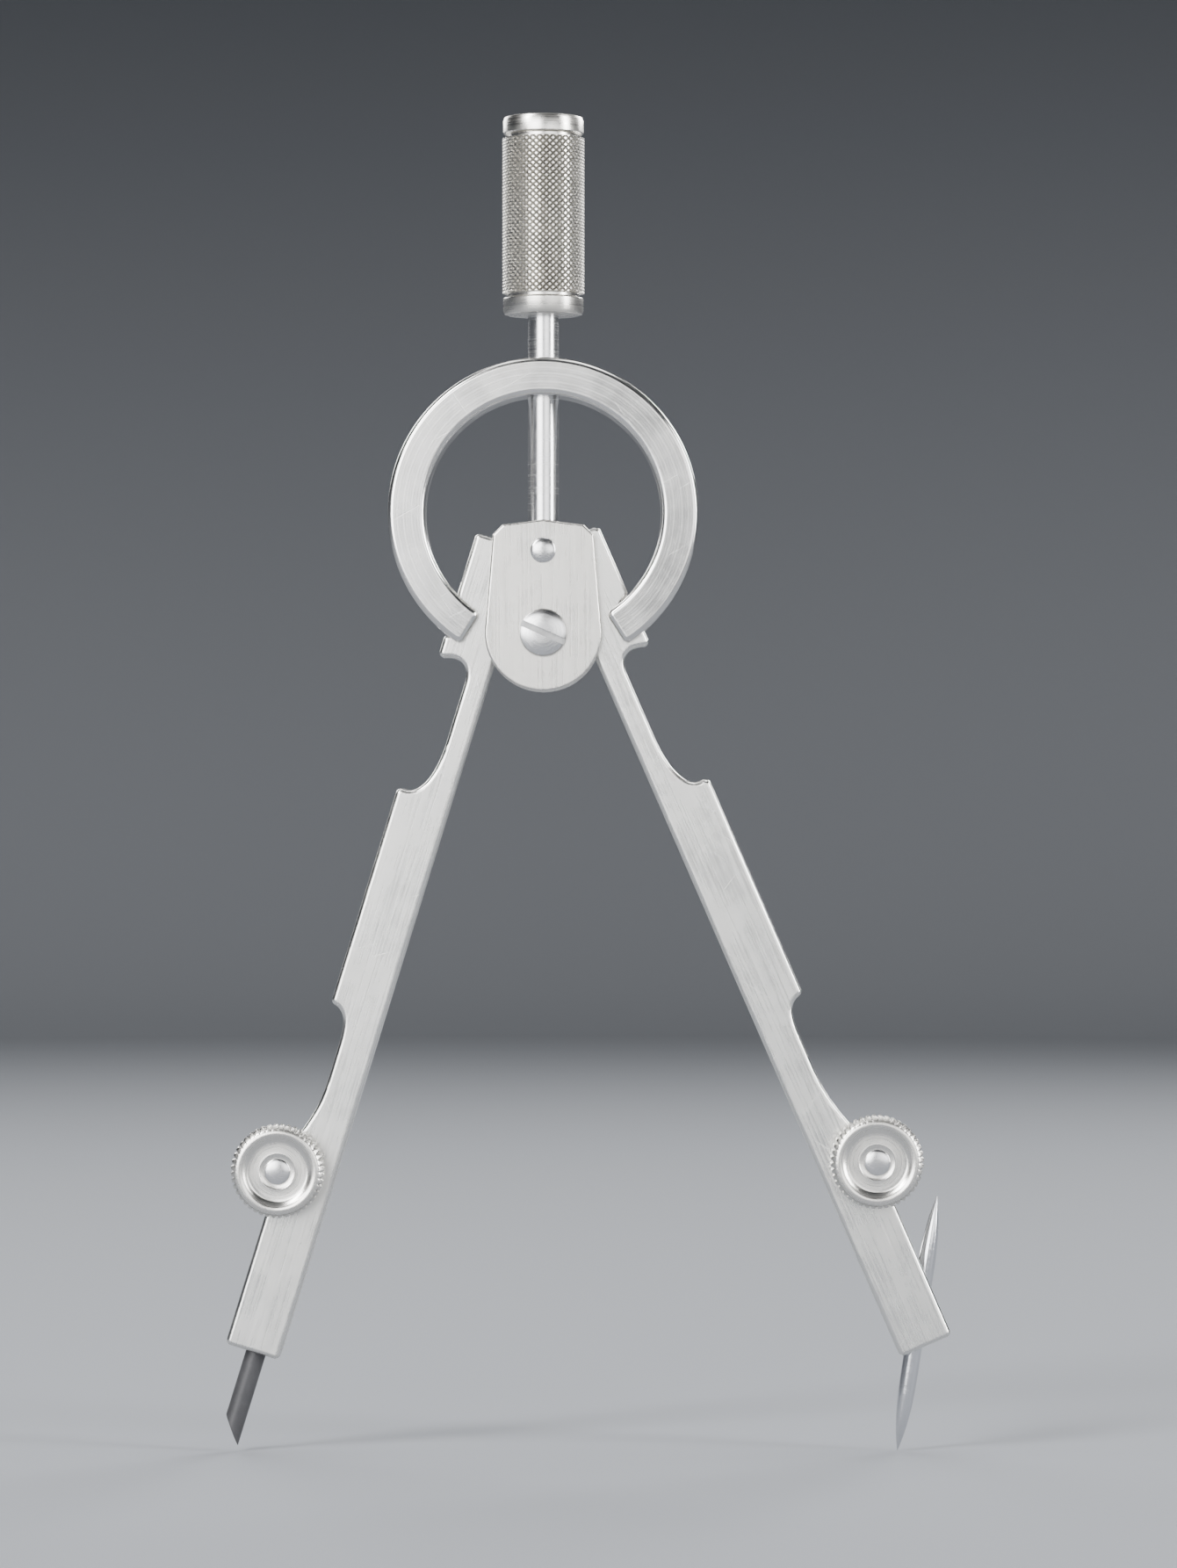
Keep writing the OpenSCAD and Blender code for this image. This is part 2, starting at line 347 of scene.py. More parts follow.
knurled_nickel = metal(
    "knurled_nickel",
    nickel_light,
    nickel_warm,
    rough=0.24,
    lines=lathe_lines("Z", 0.22),
    depth=0.012,
    painted_recess_shade=root_painted_shade("Z", knurl_root, grip_r - 0.1),
)
bm = bmesh.new()
low_rim, high_rim, around = knurled_barrel(
    bm, grip_r, knurl_root, GROOVE_END, grip_len - GROOVE_END, KNURL_COLUMNS, KNURL_ROWS
)
foot_profile = [
    (collar_r - 0.5, 0.0),
    (collar_r - 0.12, 0.12),
    (collar_r, COLLAR_EDGE),
    (collar_r, COLLAR_LEN - 0.1),
    (collar_r - 0.08, COLLAR_LEN),
    (groove_r, COLLAR_LEN + 0.12),
    (groove_r, COLLAR_LEN + 0.36),
]
rings = [round_loop(bm, around, r, z) for r, z in foot_profile]
bm.faces.new(rings[0])
for lower, upper in zip(rings, rings[1:] + [low_rim]):
    skin_between(bm, lower, upper)
top_profile = [(r, grip_len - z) for r, z in reversed(foot_profile)]
top_profile += [(2.3, grip_len), (2.15, grip_len - 0.12), (0.5, grip_len - 0.16), (0.35, grip_len - 0.3)]
rings = [high_rim] + [round_loop(bm, around, r, z) for r, z in top_profile]
for lower, upper in zip(rings, rings[1:]):
    skin_between(bm, lower, upper)
bm.faces.new(rings[-1])
make_piece(
    "knurled_grip", bm, Matrix.Translation(grip_foot), "head", "handle_grip", knurled_nickel
)


# ---- Stem ----
# The stem is a ground steel rod that the ring slides on. Its flat foot sits between the cheeks, on the
# drum, and the rivet goes through it.

def turned(profile, sides=96, shape=None):
    """A closed solid of revolution about Z from (radius, height) points. shape caps the radius there."""
    bm = bmesh.new()
    angles = [math.tau * i / sides for i in range(sides)]
    rings = []
    for radius, height in profile:
        points = []
        for a in angles:
            r = radius if shape is None else min(radius, shape(a, height))
            points.append((r * math.cos(a), r * math.sin(a), height))
        rings.append(loop(bm, points))
    for lower, upper in zip(rings, rings[1:]):
        skin_between(bm, lower, upper)
    bm.faces.new(rings[0])
    bm.faces.new(rings[-1])
    bmesh.ops.recalc_face_normals(bm, faces=bm.faces)
    return bm


def slab(outline, depth):
    """A plate of a front-view outline of (x, z) points, centred front to back on y = 0."""
    bm = bmesh.new()
    face = bm.faces.new(loop(bm, [(x, -depth / 2, z) for x, z in outline]))
    grown = bmesh.ops.extrude_face_region(bm, geom=[face])
    back = [part for part in grown["geom"] if isinstance(part, bmesh.types.BMVert)]
    bmesh.ops.translate(bm, verts=back, vec=(0, depth, 0))
    bmesh.ops.recalc_face_normals(bm, faces=bm.faces)
    return bm


def moved(bm, where):
    """Moves or mirrors a shape, and keeps its faces outwards."""
    bmesh.ops.transform(bm, matrix=where, verts=bm.verts)
    if where.determinant() < 0:
        bmesh.ops.reverse_faces(bm, faces=bm.faces)
    return bm


WELD = 0.001
FLAT = math.radians(0.3)


def combined(bm, tool, operation):
    """A blank with a tool's shape cut out of it or added to it. Both are used up."""
    parts = []
    for shape in (bm, tool):
        mesh = bpy.data.meshes.new("blank")
        shape.to_mesh(mesh)
        shape.free()
        parts.append(bpy.data.objects.new("blank", mesh))
        bpy.context.scene.collection.objects.link(parts[-1])
    step = parts[0].modifiers.new("step", "BOOLEAN")
    step.operation = operation
    step.object = parts[1]
    step.solver = "EXACT"
    result = bmesh.new()
    result.from_object(parts[0], bpy.context.evaluated_depsgraph_get())
    for part in parts:
        bpy.data.meshes.remove(part.data)
    bmesh.ops.remove_doubles(result, verts=result.verts, dist=WELD)
    bmesh.ops.dissolve_limit(result, angle_limit=FLAT, verts=result.verts, edges=result.edges)
    return result


def cut(bm, *tools):
    """A blank with each tool's shape cut out of it in turn."""
    for tool in tools:
        bm = combined(bm, tool, "DIFFERENCE")
    return bm


def curve(a, b, c, d, steps=20):
    """Points on a smooth curve from a to d with the handles b and c."""
    points = []
    for t in (i / steps for i in range(steps + 1)):
        weights = ((1 - t) ** 3, 3 * t * (1 - t) ** 2, 3 * t * t * (1 - t), t**3)
        points.append(tuple(sum(w * p[k] for w, p in zip(weights, (a, b, c, d))) for k in (0, 1)))
    return points


SMALLEST_STEP = 0.04
SHARP = math.radians(20)
EASE_STEPS = 8


def eased(outline, radius):
    """The same outline with a small arc in place of each corner that turns more than 20 degrees."""
    points = [Vector(p) for p in outline]
    count = len(points)
    sides = [points[(i + 1) % count] - points[i] for i in range(count)]
    reached = [sum(side.length for side in sides[:i]) for i in range(count)]
    whole = reached[-1] + sides[-1].length

    def along(distance):
        distance %= whole
        i = max(k for k in range(count) if reached[k] <= distance)
        return points[i] + sides[i].normalized() * (distance - reached[i])

    def apart(here, there):
        return min((here - there) % whole, (there - here) % whole)

    turns = [sides[i - 1].angle(sides[i]) for i in range(count)]
    corners = [i for i in range(count) if turns[i] > SHARP]
    trims = {i: radius * min(1.5, math.tan(turns[i] / 2)) for i in corners}
    result = []
    for i in range(count):
        if i in trims:
            start = along(reached[i] - trims[i])
            end = along(reached[i] + trims[i])
            reach = 4 / 3 * math.tan(turns[i] / 4) / math.tan(turns[i] / 2)
            handles = (start.lerp(points[i], reach), end.lerp(points[i], reach))
            result += curve(start, handles[0], handles[1], end, EASE_STEPS)
        elif all(apart(reached[i], reached[k]) > trims[k] for k in corners):
            result.append(tuple(points[i]))
    spaced = []
    for point in result:
        if not spaced or math.dist(point, spaced[-1]) > SMALLEST_STEP:
            spaced.append(point)
    return spaced


def rounded_plate(outline, depth, rim, steps=3):
    """A plate whose corners and whose front and back rims are rounded."""
    bm = slab(eased(outline, rim * 1.15), depth)
    rims = [e for e in bm.edges if abs(e.verts[0].co.y - e.verts[1].co.y) < depth / 2]
    bmesh.ops.bevel(
        bm, geom=rims, offset=rim, offset_type="OFFSET", segments=steps, profile=0.5, affect="EDGES"
    )
    return bm


def box_outline(left, right, low, high):
    return [(left, low), (right, low), (right, high), (left, high)]


def joint_place(name):
    return Vector(next(joint["pos_m"] for joint in frame["joints"] if joint["name"] == name))


steel_light = (0.74, 0.74, 0.75)
steel_worn = (0.62, 0.62, 0.62)
ground_steel = metal(
    "ground_steel", steel_light, steel_worn, rough=0.2, lines=lathe_lines("Z", 0.18), depth=0.008
)
FOOT_TOP = 10.4
FOOT_INSET = 1.4
FOOT_RIM = 0.15
THREADED_IN = 2
pivot = joint_place("needle_leg_swing")
at_pivot = Matrix.Translation(pivot)
stem_r = size_of("handle_stem").x / 2
stem_base = (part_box("handle_stem")[0].z - pivot.z) / MM
stem_top = (grip_foot.z - pivot.z) / MM + THREADED_IN

rod = turned([(stem_r, FOOT_TOP - 2), (stem_r, stem_top)])
foot_outline = box_outline(-stem_r, stem_r, stem_base + FOOT_INSET, FOOT_TOP)
foot = rounded_plate(foot_outline, size_of("handle_stem").y, FOOT_RIM)
bm = combined(foot, rod, "UNION")
make_piece("ground_stem", bm, at_pivot, "head", "handle_stem", ground_steel)


# ---- Ring spring ----
# The ring is a band of spring steel, rolled round, ground on its faces and polished. It is bored for the
# stem at the top. Each end is slotted over its leg, and a web across the slot presses in the leg's notch.

RING_END = 32
RING_BAND = 3.6
RING_RIM = 0.55
LEG_GAP = 0.3
# U is across a leg and S is down it, from the pivot.
NOTCH_U = 9.3
NOTCH_S = 1.5
NOSE_R = 1.2
SLOT_W = 4.2
NOTCH_R = 1.55
NEEDLE_LEAN = 23.6
LEAD_LEAN = 17.2
LEG_INSET = 3.65
LEG_W = 5.45
LEG_OUT = LEG_INSET + LEG_W
SWINGS = (-21, 0, 8)


def arc(radius, start, end, steps):
    """Points round the origin, from one angle to another, in degrees clockwise from straight down."""
    turns = [math.radians(start + (end - start) * i / steps) for i in range(steps + 1)]
    return [(-radius * math.sin(t), -radius * math.cos(t)) for t in turns]


def leg_side(side, lean):
    """From a leg's own upright frame, +X outwards, to the frame round the pivot."""
    mirror = Matrix.Scale(-1, 4, (1, 0, 0)) if side < 0 else Matrix.Identity(4)
    return mirror @ Matrix.Rotation(math.radians(-lean), 4, "Y")


def along_y(bm):
    """Lays a piece drawn up Z down towards the front."""
    return moved(bm, Matrix.Rotation(math.radians(90), 4, "X"))


def hole(radius, low, high, x=0.0, z=0.0, deburr=0.12):
    """The tool for a hole along Y between faces at y = low and y = high, with its edges broken."""
    past = 0.3
    wide = radius + deburr + past
    profile = [(wide, -high - past), (radius, -high + deburr), (radius, -low - deburr), (wide, -low + past)]
    return moved(along_y(turned(profile, 96)), Matrix.Translation((x, 0, z)))


RAYS = 180


def swept_box(left, right, low, high, turns):
    """The outline of a box round the origin over all of its turns, in degrees, measured ray by ray."""
    outline = []
    for step in range(RAYS):
        ray = math.tau * (step + 0.25) / RAYS
        reach = 0
        for turn in turns:
            c = math.cos(ray - math.radians(turn))
            s = math.sin(ray - math.radians(turn))
            reach = max(reach, min(max(right / c, left / c), max(high / s, low / s)))
        outline.append((reach * math.cos(ray), reach * math.sin(ray)))
    return outline


ring_r = size_of("ring_spring").x / 2
ring_depth = size_of("ring_spring").y
ring_rise = (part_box("ring_spring")[1].z - pivot.z) / MM - ring_r
spring_steel = metal(
    "spring_steel",
    (0.77, 0.77, 0.76),
    (0.64, 0.63, 0.61),
    rough=0.19,
    lines=lathe_lines("Y", 0.2),
    depth=0.01,
    rubbed=0.06,
)
outside = arc(ring_r, RING_END, 360 - RING_END, 180)
inside = arc(ring_r - RING_BAND, 360 - RING_END, RING_END, 180)
bm = rounded_plate(outside + inside, ring_depth, RING_RIM, 4)
raised = Matrix.Translation((0, 0, -ring_rise))
seat = Matrix.Translation((NOTCH_U, 0, -NOTCH_S))
ends = ((1, NEEDLE_LEAN), (-1, LEAD_LEAN))
for side, lean in ends:
    reach = slab(swept_box(-12, LEG_OUT + LEG_GAP - NOTCH_U, -6, 12, SWINGS), SLOT_W)
    bm = cut(bm, moved(reach, raised @ leg_side(side, lean) @ seat))
nose_half = SLOT_W / 2 + 0.2
for side, lean in ends:
    nose = along_y(turned([(NOSE_R, -nose_half), (NOSE_R, nose_half)], 48))
    bm = combined(bm, moved(nose, raised @ leg_side(side, lean) @ seat), "UNION")
bm = cut(bm, turned([(stem_r + 0.05, 5), (stem_r + 0.05, ring_r + 2)]))
ring_place = at_pivot @ Matrix.Translation((0, 0, ring_rise * MM))
make_piece("ring_band", bm, ring_place, "ring", "ring_spring", spring_steel)


# ---- Cheeks ----
# The cheeks are two blanked and brushed plates, nickel plated, with their edges broken. The stem's foot,
# the drum and the heads of both legs lie between them.


def brush_lines(place):
    """Brush lines along a piece's own Z, and across it on the faces at its ends."""
    facing = place.node("ShaderNodeTexCoord", {}, {}, out="Normal")
    upward = number_along(facing, "Z")
    endwise = upward * upward
    return streaks(place, (1, 1, 0.02), 0.22) * (1 - endwise) + streaks(place, (1, 0.02, 1), 0.22) * endwise


brushed_nickel = metal(
    "brushed_nickel", nickel_light, nickel_warm, rough=0.27, lines=brush_lines, depth=0.012, rubbed=0.07
)
AXLE_R = 1.25
RIVET_R = 0.8
RIVET_Z = 8.0
CHEEK_RIM = 0.26
cheek_r = size_of("front_cheek").x / 2
cheek_t = size_of("front_cheek").y
cheek_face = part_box("front_cheek")[0].y
gable = [(4.9, 9.5), (3.9, 10.5), (0, 11.0), (-3.9, 10.5), (-4.9, 9.5)]
cheek_outline = arc(cheek_r, 100, -100, 72) + gable

for name, clearance in (("front_cheek", 0.05), ("back_cheek", 0.02)):
    half = cheek_t / 2
    bm = rounded_plate(cheek_outline, cheek_t, CHEEK_RIM)
    bm = cut(bm, hole(AXLE_R + clearance, -half, half), hole(RIVET_R + 0.02, -half, half, 0, RIVET_Z))
    where = Matrix.Translation((pivot.x, middle(name).y, pivot.z))
    make_piece(name + "_plate", bm, where, "head", name, brushed_nickel)


# ---- Drum, axle screw and rivet ----
# The drum is turned steel, and the legs rock on it. A slotted screw clamps it between the cheeks, and a
# rivet with a domed head holds the stem's foot above it.

DRUM_EDGE = 0.2
drum_r = size_of("fulcrum_drum").x / 2
drum_half = size_of("fulcrum_drum").y / 2
rim = [(drum_r, 0.25), (drum_r - 0.06, 0.18), (drum_r - 0.06, -0.18), (drum_r, -0.25)]
half_rim = [
    (drum_r - DRUM_EDGE, drum_half),
    (drum_r - 0.05, drum_half - 0.05),
    (drum_r, drum_half - DRUM_EDGE),
]
profile = half_rim + rim + [(r, -y) for r, y in reversed(half_rim)]
bm = cut(along_y(turned(profile, 128)), hole(AXLE_R + 0.02, -drum_half, drum_half))
make_piece("turned_drum", bm, at_pivot, "head", "fulcrum_drum", ground_steel)

SLOT_HALF = 0.3
SLOT_DEPTH = 0.5
SLOT_TURN = 24
head_t = (cheek_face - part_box("axle_screw")[0].y) / MM
head_r = size_of("axle_screw").x / 2
shank = size_of("axle_screw").y - head_t


def slot_painted_shade(place):
    """Painted shade in the screw's slot: the most at its floor, and none at the head's face."""
    sunk = fade(number_along(place, "Y"), -head_t * MM, (SLOT_DEPTH - head_t) * MM, 0.0, 1.6)
    across = place.maths("ABSOLUTE", number_along(place, "Z"))
    return sunk * place.maths("LESS_THAN", across, (SLOT_HALF + 0.02) * MM)


# The screw's slot is darkened with painted shade.
screw_steel = metal(
    "screw_steel",
    steel_light,
    steel_worn,
    rough=0.2,
    lines=lathe_lines("Y", 0.18),
    depth=0.008,
    painted_recess_shade=slot_painted_shade,
)
profile = [
    (AXLE_R - 0.15, -shank),
    (AXLE_R, -shank + 0.15),
    (AXLE_R, 0.0),
    (head_r - 0.06, 0.0),
    (head_r, 0.08),
    (head_r, head_t * 0.55),
    (head_r - 0.12, head_t * 0.78),
    (head_r - 0.5, head_t * 0.94),
    (0.7, head_t),
]
slot_tool = slab(box_outline(-4, 4, -SLOT_HALF, SLOT_HALF), 2 * SLOT_DEPTH)
bm = cut(along_y(turned(profile)), moved(slot_tool, Matrix.Translation((0, -head_t, 0))))
slot_turn = Matrix.Rotation(math.radians(SLOT_TURN), 4, "Y")
screw_place = Matrix.Translation((pivot.x, cheek_face, pivot.z)) @ slot_turn
make_piece("slotted_axle_screw", bm, screw_place, "head", "axle_screw", screw_steel)


DOME_STEPS = 10


def domed(radius, height):
    """The profile of a low dome, from its edge to its top."""
    turns = [math.radians(90 * i / DOME_STEPS) for i in range(DOME_STEPS)]
    return [(radius * math.cos(t), height * math.sin(t)) for t in turns]


rivet_r = size_of("cheek_rivet").x / 2
rivet_t = (cheek_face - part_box("cheek_rivet")[0].y) / MM
shank = size_of("cheek_rivet").y - rivet_t
profile = [(RIVET_R - 0.1, -shank), (RIVET_R, -shank + 0.1), (RIVET_R, 0.0)] + domed(rivet_r, rivet_t)
where = Matrix.Translation((pivot.x, cheek_face, middle("cheek_rivet").z))
bm = along_y(turned(profile, 64))
make_piece("domed_rivet", bm, where, "head", "cheek_rivet", ground_steel)


# ---- Legs ----
# A leg is milled from nickel silver bar: an ear under the ring's end, a scooped neck, a grip left at full
# width, a second scoop, and a jaw that is slit down its middle. The edges are well broken, then brushed.

LEG_DEPTH = 4.0
NEEDLE_LEG_LEN = 78.5
LEAD_LEG_LEN = 75.2
HEAD_UP = 7.4
EAR_DROP = 5.45
NECK_W = 2.2
WAIST_W = 3.5
NECK_SHARE = 0.2445
GRIP_SHARE = 0.538
KNOB_SHARE = 0.7635
SLIT_W = 0.5
SLIT_ABOVE_KNOB = 6.5
LUG_R = 3.2
BUSH_R = 1.8
STUD_R = 1.25
SADDLE_R = 4.65
STEM_ROOM = stem_r + LEG_GAP
WIDEST_LEAN = NEEDLE_LEAN + SWINGS[-1]
LEG_RIM = 0.45
BORE_GAP = 0.03


def arc_round(centre, radius, start, end, steps):
    """Points on an arc between two angles in degrees, counted from +X towards +Z."""
    turns = [math.radians(start + (end - start) * i / steps) for i in range(steps + 1)]
    return [(centre[0] + radius * math.cos(t), centre[1] + radius * math.sin(t)) for t in turns]


def direction(point, centre=(0, 0)):
    """The angle of a point round a centre, in degrees from +X towards +Z."""
    return math.degrees(math.atan2(point[1] - centre[1], point[0] - centre[0]))


def outward(*points):
    """Moves points given from a leg's inner edge to where they lie from the pivot."""
    return [(LEG_INSET + x, z) for x, z in points]


def leg_outline(length):
    """A leg in its own upright frame: the pivot is the origin and +X is outwards. From the inner foot it
    goes up over the saddle for the drum, round the notch for the ring's nose, and down the two scoops."""
    neck = NECK_SHARE * length
    grip = GRIP_SHARE * length
    knob = KNOB_SHARE * length
    ear = EAR_DROP
    w = LEG_W
    lean = math.radians(WIDEST_LEAN)

    def beside_stem(distance):
        """A point up the line that stays clear of the stem when the legs are widest."""
        return (
            STEM_ROOM * math.cos(lean) + distance * math.sin(lean),
            distance * math.cos(lean) - STEM_ROOM * math.sin(lean),
        )

    saddle_foot = (LEG_INSET, -math.sqrt(SADDLE_R**2 - LEG_INSET**2))
    saddle_top = beside_stem(math.sqrt(SADDLE_R**2 - STEM_ROOM**2))
    crown = beside_stem((HEAD_UP + STEM_ROOM * math.sin(lean)) / math.cos(lean))
    notch = math.degrees(math.acos((LEG_OUT - NOTCH_U) / NOTCH_R))
    points = [(LEG_INSET, -length)]
    points += arc_round((0, 0), SADDLE_R, direction(saddle_foot), direction(saddle_top), 32)
    points += [crown, (LEG_OUT, HEAD_UP)]
    points += arc_round((NOTCH_U, -NOTCH_S), NOTCH_R, notch, 360 - notch, 24)
    points += curve(*outward((w, -ear), (w - 1.4, 0.9 - ear), (NECK_W, 0.9 - ear), (NECK_W, -1.6 - ear)))
    points += curve(
        *outward((NECK_W, 5.5 - neck), (NECK_W, 2.5 - neck), (NECK_W + 0.8, -0.9 - neck), (w, -neck))
    )
    points += curve(
        *outward((w, -grip), (WAIST_W + 0.4, -0.2 - grip), (WAIST_W, -1.2 - grip), (WAIST_W, -4.2 - grip))
    )
    scoop = curve(
        *outward((WAIST_W, -7.2 - grip), (WAIST_W, -11.2 - grip), (w - 0.7, 4.2 - knob), (w, 1.2 - knob))
    )
    lug = (LEG_OUT, -knob)
    points += [point for point in scoop if math.dist(point, lug) > LUG_R]
    points += arc_round(lug, LUG_R, direction(points[-1], lug), -90, 48)
    return points + [(LEG_OUT, -length)]


def leg_bar(length):
    """A leg in its own upright frame, before its lead or needle hole is drilled."""
    knob = KNOB_SHARE * length
    slit_top = knob - SLIT_ABOVE_KNOB
    left = LEG_INSET - 1
    right = LEG_OUT + 5
    slit = slab(box_outline(left, right, -length - 1, -slit_top), SLIT_W)
    lay = Matrix.Translation((0, 0, -slit_top)) @ Matrix.Rotation(math.pi / 2, 4, "Y")
    slit_end = moved(turned([(SLIT_W, left), (SLIT_W, right)], 32), lay)
    inner = SLIT_W / 2
    outer = LEG_DEPTH / 2
    return cut(
        rounded_plate(leg_outline(length), LEG_DEPTH, LEG_RIM),
        combined(slit, slit_end, "UNION"),
        hole(STUD_R + 0.1, -outer, -inner, LEG_OUT, -knob),
        hole(BUSH_R + 0.01, inner, outer, LEG_OUT, -knob),
    )


def finish_leg(name, bar, side, lean, node):
    """Leans a leg, mirrored for the lead's side, to where it is at rest."""
    if side < 0:
        bar = moved(bar, Matrix.Scale(-1, 4, (1, 0, 0)))
    where = at_pivot @ Matrix.Rotation(math.radians(-side * lean), 4, "Y")
    make_piece(name, bar, where, node, node, leg_nickel)


leg_nickel = metal(
    "leg_nickel",
    (0.81, 0.81, 0.79),
    (0.66, 0.65, 0.62),
    rough=0.26,
    lines=brush_lines,
    depth=0.012,
    rubbed=0.07,
)

LEAD_R = 1.0
LEAD_OUT = 9.3
LEAD_LEN = 25.5
LEAD_U = LEG_INSET + 2.4
bore_top = LEAD_LEN - LEAD_OUT + 2.5 - LEAD_LEG_LEN
bore = turned([(LEAD_R + BORE_GAP, -LEAD_LEG_LEN - 1), (LEAD_R + BORE_GAP, bore_top)], 64)
bar = cut(leg_bar(LEAD_LEG_LEN), moved(bore, Matrix.Translation((LEAD_U, 0, 0))))
finish_leg("lead_leg_bar", bar, -1, LEAD_LEAN, "lead_leg")

NEEDLE_POINT = Vector((-0.3, 0, -86.95))
NEEDLE_SLANT = 32.5
NEEDLE_R = 0.85
NEEDLE_LEN = 25.2
NEEDLE_TAPER = 9.0
slanted = Matrix.Rotation(math.radians(NEEDLE_SLANT), 4, "Y")
bore = turned([(NEEDLE_R + 0.05, 0), (NEEDLE_R + 0.05, NEEDLE_LEN)], 64)
bar = cut(leg_bar(NEEDLE_LEG_LEN), moved(bore, Matrix.Translation(NEEDLE_POINT) @ slanted))
finish_leg("needle_leg_bar", bar, 1, NEEDLE_LEAN, "needle_leg")


# ---- Thumb screws ----
# Each thumb screw is a knurled nickel-plated knob riveted on a steel stud. The stud goes through a washer
# and the jaw's front half into a brass bush in the back half, and draws the two halves together.

KNOB_TEETH = 44
TOOTH_DEPTH = 0.26
THREAD_PITCH = 0.45
THREAD_DEPTH = 0.24
THREAD_STEPS = 8
STUD_SIDES = 72
STUD_DOME = 0.22
STUD_LEAD_IN = 0.25
knob_r = size_of("needle_clamp_knob").x / 2


def straight_knurl(radius, depth):
    """The radius round a knob whose edge is cut with flat-topped teeth."""

    def shape(angle, height):
        step = (angle * KNOB_TEETH / math.tau) % 1.0
        return radius - depth * max(0.0, abs(step - 0.5) * 3.2 - 0.6)

    return shape


def screw_thread(radius, depth):
    """The radius round a stud with a single-start V thread."""

    def shape(angle, height):
        step = (height / THREAD_PITCH - angle / math.tau) % 1.0
        return radius - depth * abs(2 * step - 1)

    return shape


def reach_forward(node):
    """How far forward a node's back and its front are, in millimetres."""
    low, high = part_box(node)
    return -high.y / MM, -low.y / MM


# The roots of the knob's teeth are darkened with painted shade.
toothed_nickel = metal(
    "toothed_nickel",
    nickel_light,
    nickel_warm,
    rough=0.24,
    lines=lathe_lines("Z", 0.22),
    depth=0.012,
    painted_recess_shade=root_painted_shade("Z", knob_r - TOOTH_DEPTH, knob_r - 0.05),
)
brass = metal(
    "brass", (0.78, 0.60, 0.30), (0.62, 0.44, 0.20), rough=0.3, lines=lathe_lines("Z", 0.2), depth=0.01
)

for leg, side, lean in (("lead", -1, LEAD_LEAN), ("needle", 1, NEEDLE_LEAN)):
    clamp = leg + "_clamp"
    lay_down = Matrix.Rotation(math.radians(-side * lean), 4, "Y") @ Matrix.Rotation(math.pi / 2, 4, "X")
    stud_place = Matrix.Translation(joint_place(clamp + "_turn")) @ lay_down

    back, front = reach_forward(clamp + "_knob")
    radius = size_of(clamp + "_knob").x / 2
    profile = [
        (STUD_R, back),
        (radius - 0.75, back),
        (radius - 0.35, back + 0.08),
        (radius - 0.05, back + 0.38),
        (radius, back + 0.42),
        (radius, front - 0.5),
        (radius - 0.08, front - 0.42),
        (radius - 0.38, front - 0.12),
        (radius - 0.62, front),
        (radius - 0.95, front),
        (radius - 1.25, front - 0.16),
        (radius - 1.5, front - 0.38),
        (radius - 1.7, front - 0.42),
        (STUD_R + 0.5, front - 0.36),
        (STUD_R + 0.42, front - 0.42),
        (STUD_R, front - 0.42),
    ]
    bm = turned(profile, KNOB_TEETH * 10, straight_knurl(radius, TOOTH_DEPTH))
    make_piece(leg + "_knob", bm, stud_place, clamp, clamp + "_knob", toothed_nickel)

    tail, tip = reach_forward(clamp + "_stud")
    steps = int((back - tail) / THREAD_PITCH * THREAD_STEPS)
    start = tail + STUD_LEAD_IN
    profile = [(STUD_R - 0.3, tail)]
    profile += [(STUD_R, start + (back - start) * i / steps) for i in range(steps + 1)]
    bm = turned(profile, STUD_SIDES, screw_thread(STUD_R, THREAD_DEPTH))
    make_piece(leg + "_stud", bm, stud_place, clamp, clamp + "_stud", ground_steel)
    profile = [(STUD_R, back + 0.1)] + [(r, tip - STUD_DOME + z) for r, z in domed(STUD_R, STUD_DOME)]
    bm = turned(profile, 64)
    make_piece(leg + "_stud_end", bm, stud_place, clamp, clamp + "_stud", ground_steel)

    low, high = reach_forward(clamp + "_washer")
    radius = size_of(clamp + "_washer").x / 2
    bm = turned([(radius - 0.05, low), (radius, low + 0.06), (radius, high - 0.1), (radius - 0.1, high)], 72)
    bm = cut(bm, turned([(STUD_R + 0.1, low - 1), (STUD_R + 0.1, high + 1)], 64))
    body = leg + "_leg"
    make_piece(leg + "_washer", bm, stud_place, body, clamp + "_washer", ground_steel)

    low, high = reach_forward(leg + "_thread_bush")
    bm = turned([(BUSH_R - 0.12, low), (BUSH_R, low + 0.12), (BUSH_R, high)], 72)
    bm = cut(bm, turned([(STUD_R + 0.05, low - 1), (STUD_R + 0.05, high + 1)], 64))
    make_piece(leg + "_bush", bm, stud_place, body, leg + "_thread_bush", brass)


# ---- Lead ----
# The lead is graphite and clay, 2 mm thick, rubbed to a chisel on glass paper with its point inwards.

LEAD_BEVEL = 2.6


def graphite():
    """Dark grey with a soft metallic bloom, and finely pitted."""
    made = bpy.data.materials.new("graphite")
    made.use_nodes = True
    tree = made.node_tree
    skin = tree.nodes["Principled BSDF"]
    skin.inputs["Metallic"].default_value = 0.25
    place = Wire(tree).node("ShaderNodeTexCoord", {}, {}, out="Object")
    grain = clouds(place, 0.18, 4.0, 0.7)
    bloom = clouds(place, 1.2, 2.0)
    colour = blend_colour(grain * 0.5 + bloom * 0.5, (0.02, 0.02, 0.022), (0.085, 0.085, 0.09))
    bump = place.node("ShaderNodeBump", {}, {"Strength": 0.5, "Distance": 0.02 * MM, "Height": grain})
    tree.links.new(colour.socket, skin.inputs["Base Color"])
    tree.links.new((0.36 + grain * 0.22).socket, skin.inputs["Roughness"])
    tree.links.new(bump.socket, skin.inputs["Normal"])
    return made


